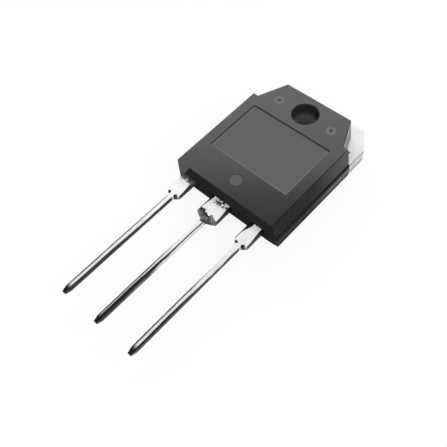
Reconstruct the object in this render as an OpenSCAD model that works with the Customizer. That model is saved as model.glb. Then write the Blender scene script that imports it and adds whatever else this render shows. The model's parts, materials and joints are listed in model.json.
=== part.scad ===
// Three-lead power transistor in a flat moulded package with a metal mounting tab.
// All sizes are millimetres. The origin is on the axis of the mounting hole, in the
// plane of the metal back. +Z points out of the moulded front face, +Y from the leads
// towards the tab, and +X to the right when the front face is seen with the leads down.

/* [Moulding] */
// Width of the moulding and of the tab at the parting line
body_w = 15.7; // [15:0.1:17]
// Thickness of the whole body, from metal back to front face
body_t = 5; // [4.6:0.1:5.6]
// Distance from the hole axis down to the lead end, at the parting line
lead_end_y = 15.65; // [15.2:0.05:17]
// Distance from the hole axis down to the shoulders, at the parting line
shoulder_y = 0.94; // [0.8:0.02:1.8]
// Distance from the hole axis up to the top edge of the moulding, at the parting line
crown_y = 3; // [2.5:0.02:3.4]
// Width of a shoulder, from the side of the main block in to the crown's flank
shoulder_w = 0.9; // [0.6:0.05:1.1]
// Distance from the side of the main block in to the crown's top corner
crown_inset = 2.67; // [2:0.01:3.3]
// Draft angle of the walls above the parting line
upper_draft = 5.5; // [2:0.5:8]
// Slope of the lead end below the parting line
lower_end_slope = 27; // [10:1:35]
// Drop of the parting line below the upper face of the tab
parting_drop = 0.1; // [0:0.05:0.3]
// Small step by which the upper mould half stands inside the lower one
parting_step = 0.07; // [0.02:0.01:0.15]
// Leg of the upright corner facets at the lead end, at the parting line
corner_facet = 0.62; // [0.3:0.02:1.2]
// Leg of the small facets that soften the shoulders' outer corners
shoulder_facet = 0.1; // [0.05:0.05:0.4]
// Edge break round the front face
front_edge = 0.06; // [0.02:0.01:0.15]

/* [Front face] */
// Margin between the recessed marking panel and each side
panel_side_margin = 1.81; // [1.3:0.01:2.8]
// Distance from the hole axis down to the panel's upper edge
panel_top_y = 2.73; // [2.6:0.01:3.6]
// Margin between the panel and the lead end
panel_end_margin = 4.54; // [3.8:0.02:5.5]
// Depth of the panel
panel_depth = 0.12; // [0.05:0.01:0.25]
// Corner radius of the panel
panel_corner_r = 0.25; // [0.1:0.05:0.8]
// Distance between the two dimples beside the hole
dimple_pitch = 8.2; // [7.4:0.02:8.6]
// Distance from the hole axis down to the dimples
dimple_y = 0.15; // [0:0.05:0.5]
// Outer diameter of a dimple's countersink
dimple_d = 1.3; // [1.1:0.1:1.8]
// Depth of a dimple's countersink
dimple_depth = 0.07; // [0.05:0.01:0.25]
// Diameter of the pin pit in the middle of a dimple
pit_d = 0.5; // [0.4:0.05:1]
// Depth of the pin pit
pit_depth = 0.15; // [0.1:0.05:0.8]
// Diameter of the ejector mark near the lead end
ejector_d = 1.65; // [1.2:0.05:2]
// Depth of the ejector mark
ejector_depth = 0.05; // [0.03:0.01:0.1]
// Distance from the lead end up to the ejector mark's centre
ejector_inset = 2.55; // [1.9:0.05:3]
// Distance from the centre line out to the ejector mark's centre
ejector_x = 0.1; // [0:0.05:0.3]

/* [Mounting hole] */
// Diameter of the mounting hole
hole_d = 3.3; // [3:0.1:3.6]
// Countersink width round the mouth of the hole
hole_edge = 0.13; // [0.04:0.01:0.3]
// Wall of the moulded sleeve that lines the header plate's hole
sleeve_wall = 0.7; // [0.5:0.05:1]

/* [Header plate] */
// Thickness of the header plate and its tab
plate_t = 2; // [1.8:0.1:2.3]
// Distance from the hole axis up to the tab's free edge
tab_edge_y = 4.55; // [4.3:0.05:5.2]
// Width of each chamfer at the tab's corners
tab_chamfer_w = 1.75; // [1.3:0.05:2.3]
// Length of the tab's straight sides above the shoulders
tab_side_len = 2.9; // [2.6:0.02:4]
// Width of the moulding's rails beside the plate's bare back
rail_w = 1.55; // [1.3:0.05:1.8]
// Ledge by which the plate is wider at its upper face, locked under the moulding
lock_ledge = 0.4; // [0.2:0.05:0.6]
// Height of that ledge above the metal back
lock_height = 1; // [0.6:0.05:1.2]
// Moulding between the plate's lower end and the lead end
end_wall = 3.1; // [2.7:0.1:3.5]
// Width of the two locking grooves across the plate's upper face
groove_w = 0.5; // [0.3:0.05:0.8]
// Depth of those grooves
groove_depth = 0.2; // [0.1:0.05:0.3]
// Distance between those grooves
groove_pitch = 0.85; // [0.7:0.05:1]

/* [Leads] */
// Distance between neighbouring leads
lead_pitch = 5.45; // [5.2:0.05:5.7]
// Thickness of the lead strip
lead_t = 0.6; // [0.5:0.05:0.7]
// Height of the leads' upper faces above the metal back
lead_top_z = 3.2; // [3:0.1:3.4]
// Length of the leads from the moulding's lead end to their tips
lead_len = 20.1; // [12:0.1:21]
// Width of a lead's narrow tail
tail_w = 0.75; // [0.65:0.05:1.1]
// Width of the outer leads' stubs
outer_stub_w = 2; // [1.6:0.1:2.4]
// Width of the middle lead's stub
middle_stub_w = 3; // [2.6:0.1:3.4]
// Length of the full-width stubs outside the moulding
stub_len = 2.7; // [2.3:0.1:3.6]
// Length over which a stub narrows to its tail
shoulder_taper = 0.55; // [0.3:0.05:0.8]
// Rounding along the edges of the tails and stubs
lead_edge_r = 0.1; // [0.05:0.01:0.15]
// Length of the pointed end of a tail
tip_len = 0.9; // [0.5:0.1:1.4]
// Width and thickness lost on each side at the very tip
tip_taper = 0.16; // [0.08:0.02:0.2]

/* [Lead frame inside] */
// Width of the bond posts of the outer leads
post_w = 3.3; // [2.9:0.1:3.5]
// Length of the bond posts
post_len = 1.9; // [1.5:0.1:2.1]
// Moulding left between the bond posts and the side walls, at the parting line
post_wall = 0.8; // [0.6:0.05:1]
// Distance from the lead end inwards to the bond posts
post_depth = 0.9; // [0.8:0.1:1.1]
// Diameter of the resin lock hole in each bond post's neck
lock_hole_d = 0.8; // [0.5:0.05:0.9]
// Length of the middle lead's pad that lies on the header plate
pad_len = 2.2; // [2:0.1:2.4]
// Distance from the plate's lower end down to the bend of the middle lead
bend_gap = 0.1; // [0.05:0.01:0.2]
// Length of the bend that brings the middle lead down to the plate
bend_len = 0.7; // [0.5:0.05:0.8]
// Diameter of the two stakes raised from the plate through the pad
stake_d = 0.9; // [0.7:0.05:1.1]
// Distance between the two stakes
stake_pitch = 1.6; // [1.5:0.05:1.7]
// Amount by which a stake's spread head is wider than its shank, on each side
stake_head_lip = 0.12; // [0.05:0.01:0.18]
// Height of a stake's spread head
stake_head_t = 0.15; // [0.08:0.01:0.25]

/* [Chip and wires] */
// Side of the square silicon chip
chip_w = 5; // [3.6:0.1:5.4]
// Thickness of the chip
chip_t = 0.3; // [0.2:0.05:0.4]
// Distance from the middle lead's pad up to the edge of the solder
chip_gap = 0.95; // [0.6:0.05:1.2]
// Thickness of the solder under the chip
solder_t = 0.08; // [0.05:0.01:0.12]
// Amount by which the solder reaches past the chip, on each side
solder_lip = 0.15; // [0.05:0.05:0.3]
// Diameter of the base wire
base_wire_d = 0.3; // [0.2:0.05:0.4]
// Diameter of the two emitter wires
emitter_wire_d = 0.5; // [0.4:0.05:0.6]
// Distance between the two emitter wires
emitter_wire_pitch = 1.2; // [1:0.1:1.5]
// Distance from the chip's lower edge to the wire bonds on it
bond_inset = 0.9; // [0.8:0.1:1.2]
// Height of the wires' arcs above the line between their ends
wire_rise = 1; // [0.7:0.1:1.1]
// Length of a wire's flattened foot, as a multiple of the wire's diameter
foot_len_ratio = 2.4; // [1.8:0.1:3]
// Width of that foot, as a multiple of the wire's diameter
foot_w_ratio = 1.3; // [1.1:0.1:1.6]
// Height of that foot, as a multiple of the wire's diameter
foot_h_ratio = 0.7; // [0.6:0.05:0.8]

/* [Hidden] */

$fn = 64;
// Reach of cutting blocks past what they cut
reach = 60;
// Small overlap that makes cuts run cleanly through a face
past = 0.5;
// Depth to which the crown's foot stands in the main block
crown_root = 1.2;

mold_color = [0.22, 0.22, 0.23];
plate_color = [0.84, 0.84, 0.82];
lead_color = [0.8, 0.81, 0.82];
solder_color = [0.55, 0.56, 0.58];
chip_color = [0.35, 0.37, 0.42];
wire_color = [0.86, 0.87, 0.88];

half_w = body_w / 2;
crown_w = body_w - 2 * crown_inset;
flank_slope = (crown_inset - shoulder_w) / (crown_y + shoulder_y);
crown_foot_y = shoulder_y + crown_root;
crown_foot_w = crown_w + 2 * flank_slope * (crown_y + crown_foot_y);
panel_w = body_w - 2 * panel_side_margin;
panel_len = lead_end_y - panel_top_y - panel_end_margin;
ejector_y = lead_end_y - ejector_inset;
tab_edge_w = body_w - 2 * tab_chamfer_w;
upper_half_w = half_w - parting_step;
parting_z = plate_t - parting_drop;
upper_h = body_t - parting_z;
hole_r = hole_d / 2;
sleeve_r = hole_r + sleeve_wall;
plate_w = body_w - 2 * rail_w;
plate_end_y = lead_end_y - end_wall;
groove_y = sleeve_r + groove_w;

stub_end_y = lead_end_y + stub_len;
tail_start_y = stub_end_y + shoulder_taper;
tip_y = lead_end_y + lead_len;
lead_mid_z = lead_top_z - lead_t / 2;
post_top_y = lead_end_y - post_depth - post_len;
post_x = upper_half_w - post_wall - post_w / 2;

bend_start_y = plate_end_y + bend_gap;
pad_end_y = bend_start_y - pad_len;
pad_top_z = plate_t + lead_t;
stake_y = (pad_end_y + plate_end_y) / 2;

solder_w = chip_w + 2 * solder_lip;
chip_y = pad_end_y - chip_gap - solder_w / 2;
chip_z = plate_t + solder_t;
chip_top_z = chip_z + chip_t;
bond_y = -(chip_y + chip_w / 2 - bond_inset);
post_bond_y = -(post_top_y + post_len / 2);

// Main block from the lead end to the softened shoulders; w is its half width
function main_outline(w) = [
    [-w, -lead_end_y], [w, -lead_end_y],
    [w, -shoulder_y - shoulder_facet], [w - shoulder_facet, -shoulder_y],
    [-w + shoulder_facet, -shoulder_y], [-w, -shoulder_y - shoulder_facet]];

// The same block with the corner facets at the lead end
function faceted_outline(w) = [
    [-w + corner_facet, -lead_end_y], [w - corner_facet, -lead_end_y],
    [w, -lead_end_y + corner_facet],
    [w, -shoulder_y - shoulder_facet], [w - shoulder_facet, -shoulder_y],
    [-w + shoulder_facet, -shoulder_y], [-w, -shoulder_y - shoulder_facet],
    [-w, -lead_end_y + corner_facet]];

// Tapered crown round the hole; its flanks run on into the main block, down to its foot
function crown_outline() = [
    [-crown_foot_w / 2, -crown_foot_y], [crown_foot_w / 2, -crown_foot_y],
    [crown_w / 2, crown_y], [-crown_w / 2, crown_y]];

// Everything inside one wall: the wall starts on the line from a to b at height 0,
// leans inwards by the draft angle and ends in an edge break at the top
module inside_of_wall(a, b, height, draft, edge) {
    lean = tan(draft);
    heading = atan2(b.y - a.y, b.x - a.x);
    translate([a.x, a.y, 0])
        rotate([0, 0, heading])
            rotate([90, 0, 90])
                linear_extrude(2 * reach, center = true)
                    polygon([[0, 0], [reach, 0], [reach, height],
                             [(height - edge) * lean + edge, height],
                             [(height - edge) * lean, height - edge]]);
}

// Convex prism whose walls all lean inwards; the outline runs anticlockwise
module drafted_prism(outline, height, draft, edge) {
    intersection_for (i = [0 : len(outline) - 1])
        inside_of_wall(outline[i], outline[(i + 1) % len(outline)], height, draft, edge);
}

// Flat rectangle with round corners, centred
module round_rect(w, h, r) {
    square([w, h - 2 * r], center = true);
    square([w - 2 * r, h], center = true);
    for (sx = [-1, 1], sy = [-1, 1])
        translate([sx * (w / 2 - r), sy * (h / 2 - r)])
            circle(r);
}

// Upper half of the moulding: drafted main block, narrower crown, upright corner facets
module upper_half() {
    translate([0, 0, parting_z]) {
        intersection() {
            drafted_prism(main_outline(upper_half_w), upper_h, upper_draft, front_edge);
            linear_extrude(upper_h)
                polygon(faceted_outline(upper_half_w));
        }
        drafted_prism(crown_outline(), upper_h, upper_draft, front_edge);
    }
}

// Lower half: rails beside and below the header plate, its lead end sloping back
module lower_half() {
    slope_run = parting_z * tan(lower_end_slope);
    intersection() {
        linear_extrude(parting_z)
            polygon(faceted_outline(half_w));
        rotate([90, 0, 90])
            linear_extrude(2 * reach, center = true)
                polygon([[-lead_end_y, parting_z], [-lead_end_y + slope_run, 0],
                         [reach, 0], [reach, parting_z]]);
    }
}

// Shallow marks on the front face: panel, two dimples and the ejector mark
module front_marks() {
    translate([0, -panel_top_y - panel_len / 2, body_t - panel_depth])
        linear_extrude(panel_depth + past)
            round_rect(panel_w, panel_len, panel_corner_r);
    for (side = [-1, 1])
        translate([side * dimple_pitch / 2, -dimple_y, body_t]) {
            translate([0, 0, -dimple_depth])
                cylinder(d1 = pit_d, d2 = dimple_d, h = dimple_depth);
            translate([0, 0, -pit_depth])
                cylinder(d = pit_d, h = pit_depth + past);
        }
    translate([ejector_x, -ejector_y, body_t - ejector_depth])
        cylinder(d = ejector_d, h = ejector_depth + past);
}

module mold_body() {
    color(mold_color)
        difference() {
            union() {
                upper_half();
                lower_half();
                cylinder(r = sleeve_r, h = plate_t + past);
            }
            translate([0, 0, -past])
                cylinder(r = hole_r, h = body_t + 2 * past);
            translate([0, 0, body_t - hole_edge])
                cylinder(r1 = hole_r, r2 = hole_r + hole_edge, h = hole_edge);
            front_marks();
            header_shape();
            collector_shape();
            outer_lead_shape(-1);
            outer_lead_shape(1);
            solder_shape();
            chip_shape();
            base_wire_shape();
            for (side = [-1, 1])
                emitter_wire_shape(side);
        }
}

// Outline of the header plate's upper layer: wide chamfered tab and narrower body
module plate_outline(inner_w) {
    tab_side_y = -shoulder_y + tab_side_len;
    polygon([[-inner_w / 2, -plate_end_y], [inner_w / 2, -plate_end_y],
             [inner_w / 2, -shoulder_y], [half_w, -shoulder_y], [half_w, tab_side_y],
             [tab_edge_w / 2, tab_edge_y], [-tab_edge_w / 2, tab_edge_y],
             [-half_w, tab_side_y], [-half_w, -shoulder_y], [-inner_w / 2, -shoulder_y]]);
}

module header_shape() {
    stake_r = stake_d / 2;
    difference() {
        union() {
            linear_extrude(lock_height)
                plate_outline(plate_w);
            translate([0, 0, lock_height])
                linear_extrude(plate_t - lock_height)
                    plate_outline(plate_w + 2 * lock_ledge);
            for (side = [-1, 1])
                translate([side * stake_pitch / 2, -stake_y, plate_t - past]) {
                    cylinder(r = stake_r, h = past + lead_t);
                    translate([0, 0, past + lead_t])
                        cylinder(r = stake_r + stake_head_lip, h = stake_head_t);
                }
        }
        translate([0, 0, -past])
            cylinder(r = sleeve_r, h = plate_t + 2 * past);
        for (y = [groove_y, groove_y + groove_pitch])
            translate([-reach / 2, -y - groove_w / 2, plate_t - groove_depth])
                cube([reach, groove_w, groove_depth + past]);
    }
}

module header_plate() {
    color(plate_color)
        header_shape();
}

// Straight piece of lead strip with rounded edges, from y0 down to y1
module strip(w, y0, y1) {
    translate([0, -y0, lead_mid_z])
        rotate([90, 0, 0])
            linear_extrude(y1 - y0)
                round_rect(w, lead_t, lead_edge_r);
}

// Pointed end of a tail, narrowing in plan and in thickness
module tip_limits() {
    point_w = tail_w / 2 - tip_taper;
    linear_extrude(body_t)
        polygon([[-tail_w, 0], [-tail_w / 2, -tip_y + tip_len], [-point_w, -tip_y],
                 [point_w, -tip_y], [tail_w / 2, -tip_y + tip_len], [tail_w, 0]]);
}

module tip_wedge() {
    point_t = lead_t / 2 - tip_taper;
    translate([0, 0, lead_mid_z])
        rotate([90, 0, 90])
            linear_extrude(reach, center = true)
                polygon([[0, -lead_t], [-tip_y + tip_len, -lead_t / 2], [-tip_y, -point_t],
                         [-tip_y, point_t], [-tip_y + tip_len, lead_t / 2], [0, lead_t]]);
}

module tail() {
    intersection() {
        strip(tail_w, stub_end_y, tip_y);
        tip_limits();
        tip_wedge();
    }
}

// Stub that leaves the moulding and narrows to the tail, centred on its lead
module stub(w, inner_y) {
    intersection() {
        strip(w, inner_y, tail_start_y);
        translate([0, 0, lead_top_z - lead_t - past])
            linear_extrude(lead_t + 2 * past)
                polygon([[-w, -inner_y], [-w / 2, -stub_end_y], [-tail_w / 2, -tail_start_y],
                         [tail_w / 2, -tail_start_y], [w / 2, -stub_end_y], [w, -inner_y]]);
    }
}

// Outer lead with its bond post; side is -1 for the left one and 1 for the right one
module outer_lead_shape(side) {
    neck_y = lead_end_y - post_depth;
    difference() {
        union() {
            translate([side * lead_pitch, 0, 0]) {
                tail();
                stub(outer_stub_w, neck_y - post_len / 2);
            }
            translate([side * post_x - post_w / 2, -neck_y, lead_top_z - lead_t])
                cube([post_w, post_len, lead_t]);
        }
        translate([side * lead_pitch, -neck_y, lead_mid_z])
            cylinder(d = lock_hole_d, h = lead_t + past, center = true);
    }
}

// Middle lead: stub and tail, then a bend down to the pad that lies on the plate
module collector_shape() {
    tail();
    stub(middle_stub_w, bend_start_y + bend_len);
    difference() {
        translate([-middle_stub_w / 2, 0, 0])
            rotate([90, 0, 90])
                linear_extrude(middle_stub_w)
                    polygon([[-lead_end_y, lead_top_z - lead_t], [-lead_end_y, lead_top_z],
                             [-bend_start_y - bend_len, lead_top_z], [-bend_start_y, pad_top_z],
                             [-pad_end_y, pad_top_z], [-pad_end_y, plate_t],
                             [-bend_start_y, plate_t],
                             [-bend_start_y - bend_len, lead_top_z - lead_t]]);
        for (side = [-1, 1])
            translate([side * stake_pitch / 2, -stake_y, plate_t - past])
                cylinder(d = stake_d, h = lead_t + 2 * past);
    }
}

module collector_lead() {
    color(lead_color)
        collector_shape();
}

module base_lead() {
    color(lead_color)
        outer_lead_shape(-1);
}

module emitter_lead() {
    color(lead_color)
        outer_lead_shape(1);
}

module solder_shape() {
    translate([-solder_w / 2, -chip_y - solder_w / 2, plate_t])
        cube([solder_w, solder_w, solder_t]);
}

module die_solder() {
    color(solder_color)
        solder_shape();
}

module chip_shape() {
    translate([-chip_w / 2, -chip_y - chip_w / 2, chip_z])
        cube([chip_w, chip_w, chip_t]);
}

module transistor_chip() {
    color(chip_color)
        chip_shape();
}

// Bond wire: a flattened foot on each pad and one arc between them in an upright plane
module bond_wire(from, to, d) {
    run = norm([to.x - from.x, to.y - from.y]);
    climb = to.z - from.z;
    heading = atan2(to.y - from.y, to.x - from.x);
    chord = norm([run, climb]);
    tilt = atan2(climb, run);
    arc_r = (chord * chord / 4 + wire_rise * wire_rise) / (2 * wire_rise);
    half_angle = asin(chord / 2 / arc_r);
    translate(from)
        rotate([0, 0, heading]) {
            for (foot = [[0, 0], [run, climb]])
                translate([foot.x, 0, foot.y])
                    bond_foot(d);
            translate([0, 0, d / 2])
                rotate([90, 0, 0])
                    rotate([0, 0, tilt])
                        translate([chord / 2, wire_rise - arc_r, 0])
                            rotate_extrude(angle = 2 * half_angle, start = 90 - half_angle)
                                translate([arc_r, 0])
                                    circle(d / 2, $fn = 24);
        }
}

// Flattened end of a bond wire, standing on its pad
module bond_foot(d) {
    translate([-foot_len_ratio * d / 2, -foot_w_ratio * d / 2, 0])
        cube([foot_len_ratio * d, foot_w_ratio * d, foot_h_ratio * d]);
}

module base_wire_shape() {
    bond_wire([-chip_w / 4, bond_y, chip_top_z], [-post_x, post_bond_y, lead_top_z],
              base_wire_d);
}

module base_wire() {
    color(wire_color)
        base_wire_shape();
}

// Emitter wire; side is -1 for the left one and 1 for the right one
module emitter_wire_shape(side) {
    offset_x = side * emitter_wire_pitch / 2;
    bond_wire([chip_w / 4 + offset_x, bond_y, chip_top_z],
              [post_x + offset_x, post_bond_y, lead_top_z], emitter_wire_d);
}

module emitter_wire_left() {
    color(wire_color)
        emitter_wire_shape(-1);
}

module emitter_wire_right() {
    color(wire_color)
        emitter_wire_shape(1);
}

mold_body();
header_plate();
collector_lead();
base_lead();
emitter_lead();
die_solder();
transistor_chip();
base_wire();
emitter_wire_left();
emitter_wire_right();
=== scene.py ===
"""Looks of a flat three-lead power transistor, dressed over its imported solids.

The scene is in metres, in the frame of the solids: the origin is on the axis of the mounting
hole in the plane of the metal back, +Z points out of the front face and +Y towards the tab.
Places and sizes in the materials are in millimetres, worked out from the object coordinates.
"""

import json
from math import cos, radians, sin

import bpy
from mathutils import Matrix, Vector

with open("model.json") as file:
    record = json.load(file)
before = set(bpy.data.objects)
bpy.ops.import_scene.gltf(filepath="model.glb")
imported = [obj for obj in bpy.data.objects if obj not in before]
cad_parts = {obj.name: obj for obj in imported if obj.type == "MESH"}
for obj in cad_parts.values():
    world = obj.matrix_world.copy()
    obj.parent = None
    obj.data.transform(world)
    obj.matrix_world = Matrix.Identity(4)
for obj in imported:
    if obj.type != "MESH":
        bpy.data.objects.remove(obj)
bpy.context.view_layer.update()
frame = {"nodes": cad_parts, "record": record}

MM = 0.001
IMAGE_SIZE = 447

# Camera, as fitted to the edges of the moulding, the tab and the leads
CAMERA_AZIMUTH = 49.96
CAMERA_ELEVATION = 57.44
CAMERA_ROLL = -8.52
CAMERA_DISTANCE = 72.5 * MM
CAMERA_TARGET = Vector((0, -13.93 * MM, 2.2 * MM))
CAMERA_ASIDE = -1.04 * MM
CAMERA_RAISE = -3.15 * MM
FOCAL_PIXELS = 598.8
SENSOR_WIDTH = 36.0


def add_camera():
    """Camera at the photograph's angle."""
    az, el, roll = radians(CAMERA_AZIMUTH), radians(CAMERA_ELEVATION), radians(CAMERA_ROLL)
    back = Vector((sin(az) * cos(el), -cos(az) * cos(el), sin(el)))
    level_right = Vector((cos(az), sin(az), 0))
    level_up = back.cross(level_right)
    right = level_right * cos(roll) + level_up * sin(roll)
    up = level_up * cos(roll) - level_right * sin(roll)
    place = CAMERA_TARGET + back * CAMERA_DISTANCE + right * CAMERA_ASIDE + up * CAMERA_RAISE
    data = bpy.data.cameras.new("camera")
    data.sensor_width = SENSOR_WIDTH
    data.lens = FOCAL_PIXELS / IMAGE_SIZE * SENSOR_WIDTH
    data.clip_start = 1 * MM
    data.clip_end = 10
    camera = bpy.data.objects.new("camera", data)
    turn = Matrix((right, up, back)).transposed().to_4x4()
    camera.matrix_world = Matrix.Translation(place) @ turn
    bpy.context.scene.collection.objects.link(camera)
    bpy.context.scene.camera = camera


class Graph:
    """Node tree of one material or world, with short calls to add and join nodes."""

    def __init__(self, tree):
        self.tree = tree
        tree.nodes.clear()

    def add(self, kind, inputs=None, **settings):
        """Adds a node; inputs maps a socket's name or number to a value or to another output."""
        node = self.tree.nodes.new(kind)
        for name, value in settings.items():
            setattr(node, name, value)
        for key, value in (inputs or {}).items():
            if isinstance(value, bpy.types.NodeSocket):
                self.tree.links.new(value, node.inputs[key])
            else:
                node.inputs[key].default_value = value
        return node

    def math(self, operation, a, b=0.0):
        return self.add("ShaderNodeMath", {0: a, 1: b}, operation=operation).outputs[0]

    def plus(self, a, b):
        return self.math("ADD", a, b)

    def minus(self, a, b):
        return self.math("SUBTRACT", a, b)

    def size(self, a):
        """The value without its sign."""
        return self.math("ABSOLUTE", a)

    def noise(self, vector, scale, detail=2.0, roughness=0.5):
        node = self.add("ShaderNodeTexNoise", {"Vector": vector, "Scale": scale, "Detail": detail,
                                               "Roughness": roughness})
        return node.outputs["Fac"]

    def scale(self, vector, factors):
        node = self.add("ShaderNodeVectorMath", {0: vector, 1: factors}, operation="MULTIPLY")
        return node.outputs[0]

    def step(self, value, low, high, to_low=0.0, to_high=1.0):
        """Maps low..high smoothly to to_low..to_high, and holds it outside."""
        node = self.add("ShaderNodeMapRange", {"Value": value, "From Min": low, "From Max": high,
                                               "To Min": to_low, "To Max": to_high},
                        interpolation_type="SMOOTHSTEP")
        return node.outputs["Result"]

    def mix_color(self, factor, a, b):
        """Colour a where the factor is 0, and b where it is 1."""
        node = self.add("ShaderNodeMix", {0: factor, 6: a, 7: b}, data_type="RGBA")
        return node.outputs[2]

    def mix(self, factor, a, b):
        """Number a where the factor is 0, and b where it is 1."""
        node = self.add("ShaderNodeMix", {0: factor, 2: a, 3: b}, data_type="FLOAT")
        return node.outputs[0]

    def bump(self, height, strength, distance):
        inputs = {"Height": height, "Strength": strength, "Distance": distance}
        return self.add("ShaderNodeBump", inputs).outputs[0]

    def both(self, a, b):
        return self.math("MULTIPLY", a, b)

    def either(self, a, b):
        return self.math("MAXIMUM", a, b)

    def inverse(self, a):
        return self.minus(1.0, a)

    def above(self, value, edge, soft):
        """0 below the edge and 1 above it, with a soft change between."""
        return self.step(value, edge - soft, edge + soft)

    def below(self, value, edge, soft):
        return self.step(value, edge - soft, edge + soft, 1.0, 0.0)

    def band(self, value, low, high, soft):
        return self.both(self.above(value, low, soft), self.below(value, high, soft))

    def blot(self, x, y, centre_x, centre_y, radius, soft):
        """Round patch in the plane of x and y."""
        across = self.minus(x, centre_x)
        along = self.minus(y, centre_y)
        square = self.plus(self.both(across, across), self.both(along, along))
        distance = self.math("SQRT", square)
        return self.below(distance, radius, soft)


def grey(level):
    return (level, level, level, 1.0)


def new_material(name):
    material = bpy.data.materials.new(name)
    material.use_nodes = True
    return material, Graph(material.node_tree)


class Place:
    """Object coordinates in millimetres and the surface normal, as outputs of nodes."""

    def __init__(self, graph):
        coords = graph.add("ShaderNodeTexCoord")
        self.point = graph.scale(coords.outputs["Object"], (1 / MM, 1 / MM, 1 / MM))
        parts = graph.add("ShaderNodeSeparateXYZ", {0: self.point})
        self.x, self.y, self.z = parts.outputs
        facing = graph.add("ShaderNodeSeparateXYZ", {0: coords.outputs["Normal"]})
        self.nx, self.ny, self.nz = facing.outputs
        self.side = graph.size(self.nx)
        self.upward = graph.above(self.nz, 0.8, 0.1)


def node_box(name):
    """Lowest and highest corner of a solid, in millimetres."""
    corners = [Vector(corner) / MM for corner in frame["nodes"][name].bound_box]
    return (Vector(map(min, zip(*corners))), Vector(map(max, zip(*corners))))


def finish_material(graph, shader):
    graph.add("ShaderNodeOutputMaterial", {"Surface": shader.outputs[0]})


BODY_LOW, BODY_HIGH = node_box("mold_body")
LEAD_LOW = node_box("collector_lead")[0]

# The front face's marks lie above this height, and are matt from this depth on
MARKS_LOW_Z = 4.5
MARK_DEPTH = 0.03
# Half width of the marking panel, and its upper and lower edges
PANEL_X = 6.04
PANEL_TOP, PANEL_END = -2.73, -11.11
# Widths of the painted highlight inside the panel's side and lower edges, and of the painted
# shadow in the crease of its upper edge; at its left edge the shadow is half as wide
EDGE_HIGHLIGHT_W = 0.34
CREASE_SHADOW_W = 0.14
# Place of the right dimple on the front face, its radius and the radius of its pit
DIMPLE_X, DIMPLE_Y = 4.1, -0.15
DIMPLE_R, PIT_R = 0.64, 0.24
# Radii just outside the mounting hole and at the outer edge of its mouth, and the height below
# which its wall is painted paler, as painted light bounced up the hole
BORE_R, MOUTH_R = 1.75, 1.79
BORE_LIT_Z = 3.3
# Depth behind the moulding's side and lead end to which a drafted wall can lie
WALL_DEPTH = 0.85
END_DEPTH = 2.0
# Lighter streaked band along each rail's side wall, a painted reflection of the floor, from its
# lower to its upper edge, the way along the rail on which it appears, and the top of the dark
# zone round it
RAIL_BAND = (0.5, 1.45)
RAIL_FADE = (-8.0, -0.5)
RAIL_DARK_Z = 2.3
# Ways along the part on which the front face and the side walls turn glossier
FACE_GLOSS = (-15.5, -7.0)
WALL_GLOSS = (-9.0, 3.0)
# Heights between which the crown's flank turns from darker to lighter, and the height of
# the dark edge at its top
FLANK_SHADE = (3.4, 3.9)
FLANK_EDGE_W = 0.25
# Right edge of a painted patch of light at the left corner of the lead end, at this height, its
# lean, its depth behind the lead end and how far it frays
LIT_PATCH_X, LIT_PATCH_Z = -5.7, 3.9
LIT_PATCH_LEAN = 0.6
LIT_PATCH_DEPTH = 0.75
LIT_PATCH_FRAY = 0.8


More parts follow.
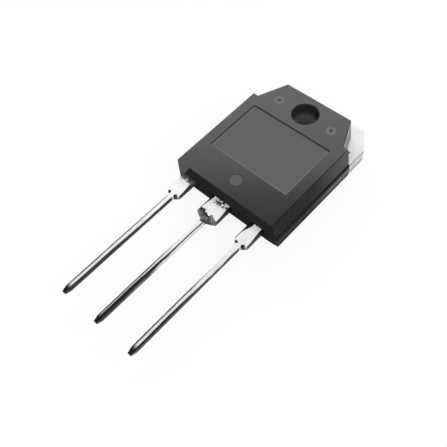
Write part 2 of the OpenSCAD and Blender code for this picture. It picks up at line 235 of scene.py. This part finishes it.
def molding_material():
    """Filled epoxy, smooth dark walls and matt lighter marks, with painted light, shade and
    reflections.
    """
    material, g = new_material("molding")
    p = Place(g)
    grain = g.noise(p.point, 7.0, 4.0, 0.65)
    cloud = g.noise(p.point, 0.3, 2.0)
    flecks = g.noise(p.point, 2.4, 3.0, 0.7)
    ticks = g.noise(g.scale(p.point, (0.5, 5.0, 0.5)), 1.0, 3.0, 0.7)
    beside = g.size(p.x)

    front = g.above(p.z, MARKS_LOW_Z, 0.2)
    sunk = g.both(p.upward, g.below(p.z, BODY_HIGH.z - MARK_DEPTH, 0.015))
    sunk = g.both(sunk, front)
    dimple = g.both(g.blot(beside, p.y, DIMPLE_X, DIMPLE_Y, DIMPLE_R, 0.05), front)
    # Painted shade: the pit inside each dimple is painted darker than its ring
    shaded_pit = g.blot(beside, p.y, DIMPLE_X, DIMPLE_Y, PIT_R, 0.05)
    outside = g.either(g.minus(beside, PANEL_X), g.minus(PANEL_END, p.y))
    # Painted highlight: a lighter line inside the panel's side and lower edges
    panel_edge_highlight = g.both(g.band(outside, -EDGE_HIGHLIGHT_W, -0.06, 0.06), g.below(p.y, PANEL_TOP, 0.05))
    panel_edge_highlight = g.both(g.both(panel_edge_highlight, p.upward), g.step(flecks, 0.35, 0.65, 0.3, 1.0))
    # Painted shadow: a dark ragged line inside the panel's upper and left edges
    crease_shadow = g.both(g.band(p.y, PANEL_TOP - CREASE_SHADOW_W, PANEL_TOP, 0.03),
                    g.below(beside, PANEL_X, 0.02))
    left_crease_shadow = g.both(g.band(p.x, -PANEL_X, CREASE_SHADOW_W / 2 - PANEL_X, 0.03),
                         g.band(p.y, PANEL_END, PANEL_TOP, 0.02))
    crease_shadow = g.both(g.either(crease_shadow, left_crease_shadow), sunk)
    crease_shadow = g.both(crease_shadow, g.step(flecks, 0.3, 0.6, 0.2, 1.0))

    # Painted light: the hole's wall is painted paler below a height
    lit_bore = g.both(g.blot(p.x, p.y, 0.0, 0.0, BORE_R, 0.05), g.below(p.z, BORE_LIT_Z, 0.9))
    mouth = g.both(g.blot(p.x, p.y, 0.0, 0.0, MOUTH_R, 0.01), g.inverse(lit_bore))
    # Painted reflection: the rails' lower side walls are painted lighter, with streaks, fading
    # towards the lead end
    rail_band = g.band(p.z, *RAIL_BAND, 0.15)
    rail_reflection = g.both(g.both(g.above(p.side, 0.99, 0.004), rail_band), g.step(p.y, *RAIL_FADE))
    # Painted light: a lighter matt patch at the lead end's left corner
    frayed = g.plus(p.x, g.both(flecks, LIT_PATCH_FRAY))
    lit_patch_edge = g.both(g.minus(p.z, LIT_PATCH_Z), LIT_PATCH_LEAN)
    lit_patch = g.below(g.minus(frayed, lit_patch_edge), LIT_PATCH_X, 0.08)
    lit_patch = g.both(lit_patch, g.below(p.y, BODY_LOW.y + LIT_PATCH_DEPTH, 0.2))
    lit_patch = g.both(lit_patch, g.inverse(p.upward))
    rough = g.either(g.either(g.either(sunk, dimple), g.either(rail_reflection, lit_patch)), lit_bore)

    wall = g.both(g.above(p.side, 0.5, 0.1), g.above(beside, BODY_HIGH.x - WALL_DEPTH, 0.1))
    end = g.both(g.below(p.ny, -0.7, 0.1), g.below(p.y, BODY_LOW.y + END_DEPTH, 0.5))
    end = g.both(end, g.inverse(lit_patch))
    rail_edge = g.both(g.below(p.z, RAIL_DARK_Z, 0.2), g.inverse(rail_band))
    dull = g.either(g.either(end, mouth), g.both(wall, rail_edge))

    smooth_base = g.mix_color(g.step(cloud, 0.3, 0.7), grey(0.016), grey(0.021))
    mottled = g.mix_color(g.step(flecks, 0.35, 0.65), grey(0.002), grey(0.022))
    smooth_base = g.mix_color(wall, smooth_base, mottled)
    matt_base = g.mix_color(g.step(flecks, 0.3, 0.7), grey(0.098), grey(0.107))
    rail_reflection_base = g.mix_color(g.step(ticks, 0.35, 0.65), grey(0.14), grey(0.3))
    base = g.mix_color(g.either(sunk, lit_patch), smooth_base, matt_base)
    base = g.mix_color(dimple, base, g.mix_color(shaded_pit, grey(0.15), grey(0.07)))
    base = g.mix_color(panel_edge_highlight, base, grey(0.145))
    base = g.mix_color(crease_shadow, base, grey(0.01))
    base = g.mix_color(lit_bore, base, grey(0.2))
    base = g.mix_color(rail_reflection, base, rail_reflection_base)
    base = g.mix_color(dull, base, g.mix_color(flecks, grey(0.008), grey(0.052)))

    flank = g.below(p.z, BODY_HIGH.z - FLANK_EDGE_W, 0.1)
    flank = g.both(flank, g.step(p.z, *FLANK_SHADE, 0.2, 0.75))
    face = g.step(p.y, *FACE_GLOSS, 0.68, 0.8)
    shine = g.mix(rough, g.mix(g.above(p.side, 0.5, 0.1), face, flank), 0.4)
    shine = g.mix(wall, shine, g.step(p.y, *WALL_GLOSS, 0.03, 0.37))
    shader = g.add("ShaderNodeBsdfPrincipled", {
        "Base Color": base,
        "Roughness": g.mix(rough, g.step(grain, 0.3, 0.7, 0.14, 0.2), 0.65),
        "Specular IOR Level": g.mix(dull, shine, 0.0),
        "IOR": 1.45,
        "Normal": g.bump(grain, g.mix(rough, 0.1, 0.2), 0.02 * MM)})
    finish_material(g, shader)
    return material


# Height of the tab's front face above the metal back, the height of the dark rim under it on the
# sheared edge, a painted dark reflection of the rounded edge, and the dark line lower down that
# edge
TAB_FACE = 2.0
SHEAR_RIM_W = 0.25
SHEAR_LINE = (0.4, 0.65)
# Foot of the crown's flank on the tab at the height of the hole, its lean inwards, and the end of
# the zone beside it that is painted brighter, as painted light against the flank's shade
FLANK_X = 6.2
FLANK_LEAN = 0.35
FLANK_FOOT_END = 2.0
# Place and radius of a small dark spot on the tab beside the flank
DARK_SPOT_X, DARK_SPOT_Y = 6.6, 0.55
DARK_SPOT_R = 0.2


def plate_material():
    """Satin nickel plate on rolled copper, darker along the sheared edges, partly as painted
    reflection, and painted brighter beside the flank.
    """
    material, g = new_material("plated_copper")
    p = Place(g)
    rolled = g.noise(g.scale(p.point, (14.0, 0.8, 14.0)), 1.0, 3.0)
    cloud = g.noise(p.point, 0.8, 2.0)
    specks = g.noise(p.point, 5.0, 3.0, 0.7)
    specks = g.above(g.minus(specks, g.step(p.y, -0.5, 1.5, 0.56, 0.66)), 0.0, 0.05)
    dark_spot = g.blot(p.x, p.y, DARK_SPOT_X, DARK_SPOT_Y, DARK_SPOT_R, 0.06)
    # Painted reflection: the dark rim at the top of the sheared edge
    rim = g.either(g.above(p.z, TAB_FACE - SHEAR_RIM_W, 0.08), g.band(p.z, *SHEAR_LINE, 0.1))
    sheared = g.inverse(g.above(g.size(p.nz), 0.8, 0.1))
    dark = g.either(g.either(g.both(sheared, rim), dark_spot), g.both(specks, 0.3))
    from_flank = g.plus(g.size(p.x), g.both(p.y, FLANK_LEAN))
    # Painted light: the tab beside the flank is painted white and less metallic
    lit_foot = g.both(g.below(from_flank, FLANK_X + 0.7, 0.7), g.below(p.y, FLANK_FOOT_END, 1.0))
    level = g.mix_color(cloud, grey(0.74), grey(0.8))
    level = g.mix_color(lit_foot, level, grey(1.0))
    level = g.mix_color(sheared, level, g.mix_color(rolled, grey(0.6), grey(0.9)))
    shader = g.add("ShaderNodeBsdfPrincipled", {
        "Base Color": g.mix_color(dark, level, grey(0.16)),
        "Metallic": g.mix(lit_foot, 0.7, 0.1),
        "Roughness": g.step(rolled, 0.3, 0.7, 0.4, 0.5),
        "Normal": g.bump(rolled, 0.15, 0.01 * MM)})
    finish_material(g, shader)
    return material


# Distance between neighbouring leads, and height of their upper faces
LEAD_PITCH = 5.45
LEAD_TOP = 3.2
# Widths of the leads' wide stubs outside the moulding, and the place where they end
OUTER_STUB_W, MIDDLE_STUB_W = 2.0, 3.0
STUB_END = BODY_LOW.y - 2.7
# Place along the tails above which their dark lines, painted reflections, are thin
TAIL_THIN_Y = BODY_LOW.y - 6
# Left line's edge across a tail, and the edges of the band right of it
TAIL_LINE_X = -0.17
TAIL_BAND = (0.31, 0.48)
# Burrs beside an outer lead's shoulders: distance from the lead's middle, and radius
BURR_X, BURR_R = 0.52, 0.25


class LeadPlace(Place):
    """Place on the leads, with masks of the left and middle lead and the way across one."""

    def __init__(self, graph):
        super().__init__(graph)
        self.graph = graph
        lead_x = graph.math("SNAP", graph.plus(self.x, LEAD_PITCH / 2), LEAD_PITCH)
        self.middle = graph.below(graph.size(lead_x), 1.0, 0.5)
        self.left = graph.below(lead_x, -1.0, 0.5)
        self.across = graph.minus(self.x, lead_x)
        self.grit = graph.noise(self.point, 3.0, 4.0, 0.7)

    def by_lead(self, left, middle, right):
        return self.graph.mix(self.left, self.graph.mix(self.middle, right, middle), left)


def side_shade(g, p):
    """Dark zone down the side faces of the stubs, and of the middle tail near its tip."""
    tail_shade = g.step(p.y, LEAD_LOW.y + 1, LEAD_LOW.y + 7, g.mix(p.middle, 0.0, 0.3), 0.0)
    shade_end = g.mix(g.above(p.y, STUB_END - 0.5, 0.2), tail_shade, 0.7)
    depth = g.minus(LEAD_TOP, p.z)
    shade = g.below(g.minus(depth, shade_end), 0.0, 0.05)
    return g.both(g.above(p.side, 0.6, 0.25), shade)


def tail_lines(g, p):
    """Painted dark reflections: a line at a tail's left edge, and a band on its right that widens
    to the tip.
    """
    drift = g.noise(g.scale(p.point, (0.2, 0.5, 0.2)), 1.0, 2.0)
    across = g.plus(p.across, g.step(drift, 0.3, 0.7, -0.02, 0.02))
    faint = g.step(p.y, BODY_LOW.y - 12, TAIL_THIN_Y, 1.0, g.mix(p.left, 0.0, 0.7))
    line = g.both(g.below(across, TAIL_LINE_X, 0.09), faint)
    reach = p.by_lead(0.11, 0.22, 0.18)
    spread = g.step(p.y, LEAD_LOW.y + 4.5, TAIL_THIN_Y, reach, 0.0)
    place = g.plus(across, p.by_lead(0.03, 0.17, 0.0))
    band = g.both(g.above(g.plus(place, spread), TAIL_BAND[0], 0.04),
                  g.below(g.minus(place, g.both(spread, 0.5)), TAIL_BAND[1], 0.04))
    return g.both(g.either(line, band), g.below(p.y, STUB_END - 0.7, 0.1))


def stub_rims(g, p):
    """Painted shade as dark rims along a stub's edges, wider towards the moulding; the left stub
    has one.
    """
    half_w = g.mix(p.middle, OUTER_STUB_W / 2, MIDDLE_STUB_W / 2)
    wedge = g.step(p.y, BODY_LOW.y - 1.8, BODY_LOW.y, 0.0, g.mix(p.middle, 0.45, 0.2))
    left_rim = g.below(g.minus(g.plus(p.across, half_w), wedge), 0.13, 0.03)
    left_rim = g.both(left_rim, g.inverse(p.left))
    wedge = g.step(p.y, BODY_LOW.y - 2.5, BODY_LOW.y, 0.1, 0.32)
    right_rim = g.above(g.plus(g.minus(p.across, half_w), wedge), 0.0, 0.03)
    return g.both(g.either(left_rim, right_rim), g.above(p.y, STUB_END, 0.1))


def lead_material():
    """Bright tin on the lead strip: painted shade on side faces and stub rims, painted dark
    reflections as lines, dark tips, resin on the stubs.
    """
    material, g = new_material("tinned_lead")
    p = LeadPlace(g)
    waves = g.noise(g.scale(p.point, (1.6, 0.7, 1.6)), 1.0, 3.0)
    wander = g.noise(p.point, 1.3, 2.0)
    tip = g.below(p.y, LEAD_LOW.y + 1.0, 0.4)

    burr = g.blot(g.size(p.across), p.y, BURR_X, STUB_END - BURR_R, BURR_R, 0.06)
    burr = g.both(burr, g.inverse(p.middle))
    patch = g.plus(g.plus(p.y, g.both(p.across, 0.25)), g.both(wander, 1.6))
    patch = g.both(g.below(patch, STUB_END + 1.3, 0.12), g.above(p.y, STUB_END - 0.8, 0.2))
    patch = g.both(patch, p.middle)
    root = g.both(g.above(p.y, BODY_LOW.y - 0.75, 0.3), g.above(p.across, -0.9, 0.3))
    bare = g.mix(g.either(patch, burr), g.mix(g.both(root, p.middle), 0.72, 0.5), 0.34)
    ragged = g.above(g.minus(p.grit, bare), 0.0, 0.05)
    ragged = g.both(ragged, g.above(p.y, STUB_END - 1.2, 0.3))
    smear = g.above(g.plus(p.y, g.both(p.grit, 2.0)), BODY_LOW.y + 0.5, 0.1)
    smear = g.both(smear, p.left)

    lines = g.either(tail_lines(g, p), stub_rims(g, p))
    dark = g.either(g.either(side_shade(g, p), lines), g.either(ragged, tip))
    # Painted light: near the moulding the stubs are painted full white and not metallic, against
    # the body's shade
    lit_near_body = g.above(p.y, BODY_LOW.y - 1.9, 1.1)
    level = g.mix_color(lit_near_body, g.mix_color(waves, grey(0.9), grey(1.0)), grey(1.0))
    stain = g.mix(patch, 0.98, g.step(wander, 0.4, 0.6, 0.82, 0.98))
    color = g.mix_color(g.both(dark, stain), level, grey(0.02))
    resin = g.mix_color(g.step(p.grit, 0.4, 0.6), grey(0.05), grey(0.16))
    shader = g.add("ShaderNodeBsdfPrincipled", {
        "Base Color": g.mix_color(smear, color, resin),
        "Metallic": g.both(g.mix(dark, g.mix(lit_near_body, 0.4, 0.0), 1.0), g.inverse(smear)),
        "Roughness": g.step(waves, 0.3, 0.7, 0.25, 0.38),
        "Normal": g.bump(waves, 0.2, 0.03 * MM)})
    finish_material(g, shader)
    return material


def plain_metal(name, level, roughness):
    """Metal of a sealed inner piece, with a light grain."""
    material, g = new_material(name)
    p = Place(g)
    grain = g.noise(p.point, 6.0, 3.0)
    shader = g.add("ShaderNodeBsdfPrincipled", {
        "Base Color": g.mix_color(grain, grey(level * 0.9), grey(level)),
        "Metallic": 1.0,
        "Roughness": g.step(grain, 0.3, 0.7, roughness, roughness + 0.1),
        "Normal": g.bump(grain, 0.2, 0.01 * MM)})
    finish_material(g, shader)
    return material


def dress_nodes():
    """Gives every solid its material, by the record's slots."""
    makers = {
        "molding": molding_material,
        "plated_copper": plate_material,
        "tinned_lead": lead_material,
        "solder": lambda: plain_metal("solder", 0.5, 0.45),
        "silicon": lambda: plain_metal("silicon", 0.4, 0.2),
        "bond_wire": lambda: plain_metal("bond_wire", 0.85, 0.3),
    }
    made = {slot: make() for slot, make in makers.items()}
    for part in frame["record"]["subparts"]:
        mesh = frame["nodes"][part["node"]].data
        mesh.materials.clear()
        mesh.materials.append(made[part["material_slot"]])


# Side of the square floor, and the share of plain white in it as mirrored and as seen
FLOOR_SIZE = 1.2
MIRRORED_WHITE, SEEN_WHITE = 0.4, 0.88
# Distance of the lamps from the origin, and the place along the part at which they aim
LAMP_DISTANCE = 0.3
LAMP_AIM_Y = -7 * MM
WORLD_STRENGTH = 0.37


def add_floor():
    """Pale floor, white to the camera and in reflections, that keeps the part's shadow."""
    half = FLOOR_SIZE / 2
    corners = [(-half, -half, 0), (half, -half, 0), (half, half, 0), (-half, half, 0)]
    mesh = bpy.data.meshes.new("floor")
    mesh.from_pydata(corners, [], [(0, 1, 2, 3)])
    floor = bpy.data.objects.new("floor", mesh)
    bpy.context.scene.collection.objects.link(floor)
    material, g = new_material("floor")
    path = g.add("ShaderNodeLightPath")
    mirrored = g.either(path.outputs["Is Glossy Ray"], path.outputs["Is Transmission Ray"])
    seen = g.either(path.outputs["Is Camera Ray"], mirrored)
    lit = g.add("ShaderNodeBsdfDiffuse", {"Color": grey(1.0)})
    white = g.add("ShaderNodeEmission", {"Color": grey(1.0), "Strength": 1.0})
    share = g.mix(path.outputs["Is Camera Ray"], MIRRORED_WHITE, SEEN_WHITE)
    bright = g.add("ShaderNodeMixShader", {0: share, 1: lit.outputs[0], 2: white.outputs[0]})
    dull = g.add("ShaderNodeBsdfDiffuse", {"Color": grey(0.3)})
    both = g.add("ShaderNodeMixShader", {0: seen, 1: dull.outputs[0], 2: bright.outputs[0]})
    finish_material(g, both)
    mesh.materials.append(material)


def add_world():
    world = bpy.data.worlds.new("studio")
    world.use_nodes = True
    bpy.context.scene.world = world
    g = Graph(world.node_tree)
    background = g.add("ShaderNodeBackground", {"Color": grey(1.0), "Strength": WORLD_STRENGTH})
    g.add("ShaderNodeOutputWorld", {"Surface": background.outputs[0]})


def add_softbox(name, azimuth, elevation, size, power):
    """Flat area lamp over the part; its azimuth goes from +X towards +Y, in degrees."""
    az, el = radians(azimuth), radians(elevation)
    place = Vector((cos(az) * cos(el), sin(az) * cos(el), sin(el))) * LAMP_DISTANCE
    data = bpy.data.lights.new(name, "AREA")
    data.shape = "RECTANGLE"
    data.size, data.size_y = size
    data.energy = power
    lamp = bpy.data.objects.new(name, data)
    aim = Vector((0, LAMP_AIM_Y, 0)) - place
    lamp.rotation_mode = "QUATERNION"
    lamp.rotation_quaternion = aim.to_track_quat("-Z", "Y")
    lamp.location = place
    bpy.context.scene.collection.objects.link(lamp)


add_camera()
dress_nodes()
add_floor()
add_world()
add_softbox("wall", 132, 31.2, (0.42, 0.27), 0.52)
add_softbox("fill", -65, 50, (0.25, 0.2), 0.34)
add_softbox("side", 15, 45, (0.2, 0.15), 0.25)
bpy.context.scene.view_settings.view_transform = "Standard"
